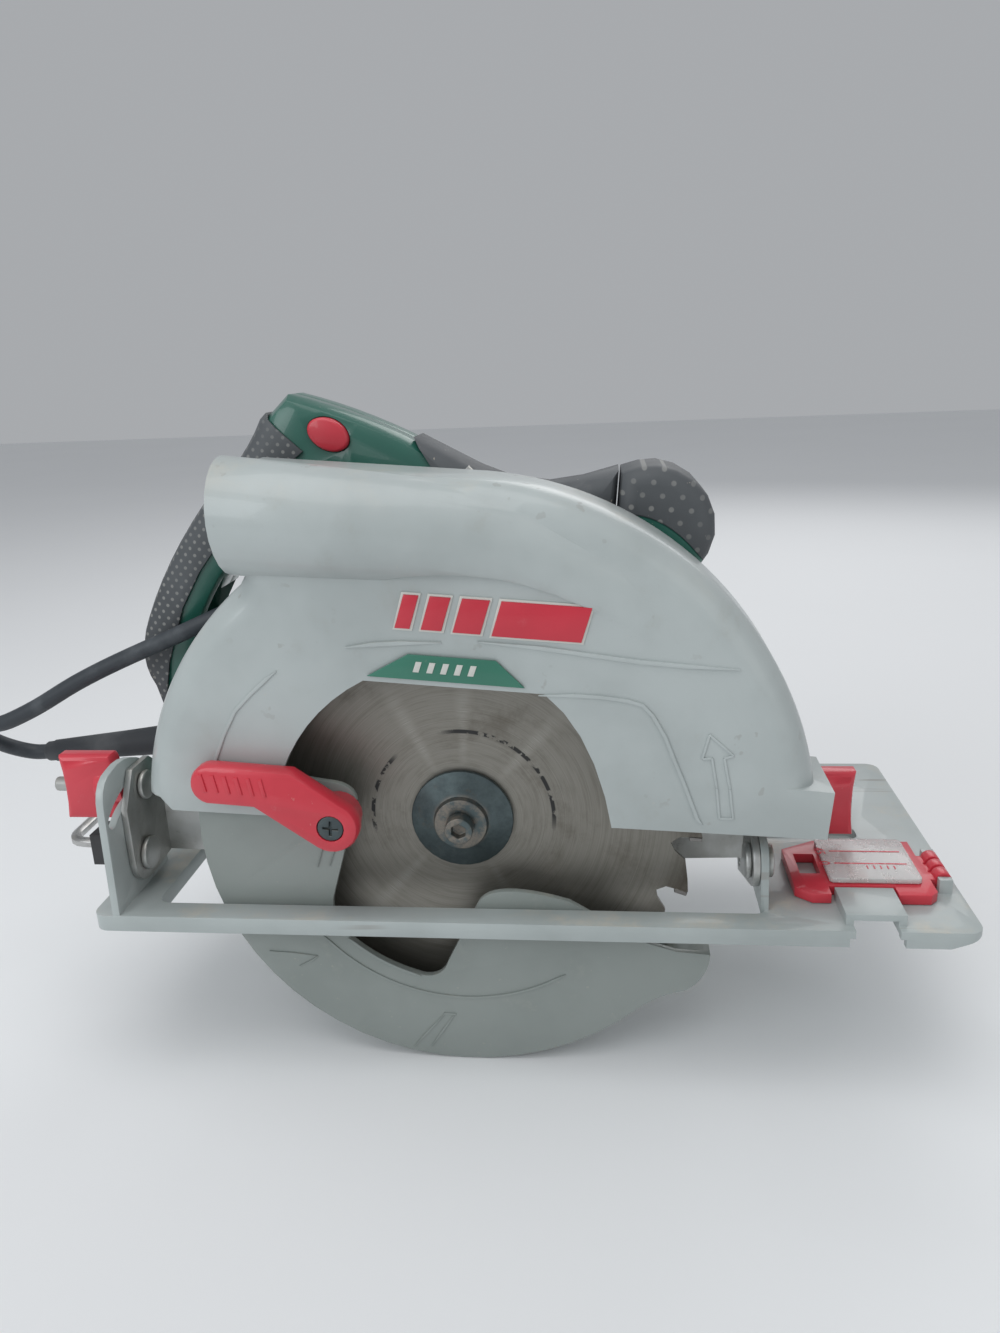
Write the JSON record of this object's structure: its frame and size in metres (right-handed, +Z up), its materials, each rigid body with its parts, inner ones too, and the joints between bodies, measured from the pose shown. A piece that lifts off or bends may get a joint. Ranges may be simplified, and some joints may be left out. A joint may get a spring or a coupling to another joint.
{
  "type": "circular saw",
  "caption": "Hand-held mains circular saw with a pressed base plate, fixed and swinging blade guards, depth and bevel settings, soft grips and a coiled mains lead.",
  "frame": {"origin": "centre of the base plate's underside (the sole), level with the runner beside the blade slot", "axes": "+X the cutting direction, +Y from the blade towards the motor, +Z up"},
  "size_m": [0.4161, 0.3343, 0.268],
  "materials": {
    "shell_paint": "light cool grey enamel with cream dust",
    "guard_paint": "mid grey enamel on a die casting",
    "red_plastic": "moulded red, satin",
    "green_plastic": "dark green moulded shell, satin",
    "badge_green": "printed green label",
    "soft_grip": "matt soft-touch skin",
    "black_plastic": "fine spark-eroded texture",
    "cord_rubber": "smooth cable sheath",
    "zinc": "zinc plated, with a cream haze",
    "bright_steel": "ground steel",
    "blade_steel": "circular brushing, browned and worn",
    "dark_steel": "blackened steel, scuffed",
    "cast_alloy": "die-cast, as cast",
    "copper": "copper segments",
    "clear_plastic": "clear moulded window"
  },
  "bodies": {
    "saw_head": {"upper_guard": "shell_paint", "guard_badge": "badge_green", "gear_housing": "cast_alloy", "motor_housing": "green_plastic", "motor_end_cap": "black_plastic", "stator": "dark_steel", "carbon_brush_rear": "black_plastic", "carbon_brush_front": "black_plastic", "brush_cap_rear": "black_plastic", "brush_cap_front": "black_plastic", "spindle_bearing": "bright_steel", "rotor_bearing_front": "bright_steel", "rotor_bearing_rear": "bright_steel", "guard_return_spring": "bright_steel", "handle_shell_right": "green_plastic", "handle_shell_left": "green_plastic", "handle_screw_1": "dark_steel", "handle_screw_2": "dark_steel", "rear_grip": "soft_grip", "top_grip": "soft_grip", "front_knob": "soft_grip", "switch_body": "black_plastic", "depth_clamp_bolt": "zinc", "cord_boot": "cord_rubber", "cord_lead": "cord_rubber", "cord_coil": "cord_rubber", "cord_tail": "cord_rubber", "cord_tie": "black_plastic", "mains_plug": "black_plastic"},
    "spindle_body": {"spindle": "bright_steel", "spindle_gear": "bright_steel", "inner_flange": "dark_steel", "saw_blade": "blade_steel", "outer_flange": "dark_steel", "blade_bolt": "dark_steel"},
    "rotor": {"rotor_shaft": "bright_steel", "rotor_core": "dark_steel", "commutator": "copper", "motor_fan": "black_plastic"},
    "lower_guard_body": {"lower_guard": "guard_paint", "guard_lever": "red_plastic", "guard_lever_screw": "dark_steel"},
    "trigger_body": {"trigger": "black_plastic"},
    "lock_off": {"lock_off_button": "red_plastic"},
    "spindle_lock": {"spindle_lock_button": "black_plastic"},
    "depth_clamp": {"depth_lever": "red_plastic"},
    "bevel_frame": {"tilt_frame": "zinc", "depth_quadrant": "bright_steel", "depth_pivot_pin": "zinc", "rear_wing_bolt": "zinc", "rear_bevel_rivet": "zinc", "front_bevel_rivet": "zinc"},
    "shoe": {"base_plate": "shell_paint", "key_clip": "black_plastic", "hex_key": "bright_steel", "front_wing_bolt": "zinc"},
    "cut_sight": {"cut_sight_frame": "red_plastic", "cut_sight_window": "clear_plastic"},
    "rear_wing": {"rear_wing_knob": "red_plastic"},
    "front_wing": {"front_wing_knob": "red_plastic"}
  },
  "joints": [
    {"name": "blade_spin", "type": "hinge", "parent": "saw_head", "child": "spindle_body", "pos_m": [-0.023, -0.0495, 0.038], "axis": [0, 1, 0], "continuous": true},
    {"name": "rotor_spin", "type": "hinge", "parent": "saw_head", "child": "rotor", "pos_m": [-0.02099, -0.0495, 0.06101], "axis": [0, 1, 0], "continuous": true},
    {"name": "lower_guard_swing", "type": "hinge", "parent": "saw_head", "child": "lower_guard_body", "pos_m": [-0.023, -0.0495, 0.038], "axis": [0, 1, 0], "range_deg": [0, 120], "stiffness_Nm_per_rad": 0.35, "springref_deg": -126.05},
    {"name": "trigger_pull", "type": "slide", "parent": "saw_head", "child": "trigger_body", "axis": [-0.9962, 0, 0.0872], "range_m": [0, 0.0035], "stiffness_N_per_m": 900, "springref_m": -0.002},
    {"name": "lock_off_press", "type": "slide", "parent": "saw_head", "child": "lock_off", "axis": [0, 1, 0], "range_m": [0, 0.0017], "stiffness_N_per_m": 900, "springref_m": -0.002},
    {"name": "spindle_lock_press", "type": "slide", "parent": "saw_head", "child": "spindle_lock", "axis": [-0.9962, 0, 0.0872], "range_m": [0, 0.0014], "stiffness_N_per_m": 1500, "springref_m": -0.002},
    {"name": "depth_lever_swing", "type": "hinge", "parent": "saw_head", "child": "depth_clamp", "pos_m": [-0.06137, -0.025, 0.06438], "axis": [0, 1, 0], "range_deg": [-25, 10]},
    {"name": "depth_swing", "type": "hinge", "parent": "saw_head", "child": "bevel_frame", "pos_m": [0.103, -0.04, 0.05], "axis": [0, -1, 0], "range_deg": [-4, 35]},
    {"name": "bevel_tilt", "type": "hinge", "parent": "bevel_frame", "child": "shoe", "pos_m": [0, -0.0535, 0.022], "axis": [-1, 0, 0], "range_deg": [0, 45]},
    {"name": "rear_wing_turn", "type": "hinge", "parent": "bevel_frame", "child": "rear_wing", "pos_m": [-0.17, -0.04846, 0.05056], "axis": [1, 0, 0], "continuous": true},
    {"name": "front_wing_turn", "type": "hinge", "parent": "shoe", "child": "front_wing", "pos_m": [0.12, -0.02249, 0.03329], "axis": [1, 0, 0], "continuous": true},
    {"name": "cut_sight_fold", "type": "hinge", "parent": "shoe", "child": "cut_sight", "pos_m": [0.165, -0.037, 0.0105], "axis": [0, 1, 0], "range_deg": [0, 5]}
  ],
  "couplings": [
    {"joint": "rotor_spin", "follows": "blade_spin", "ratio": -3.6667}
  ]
}
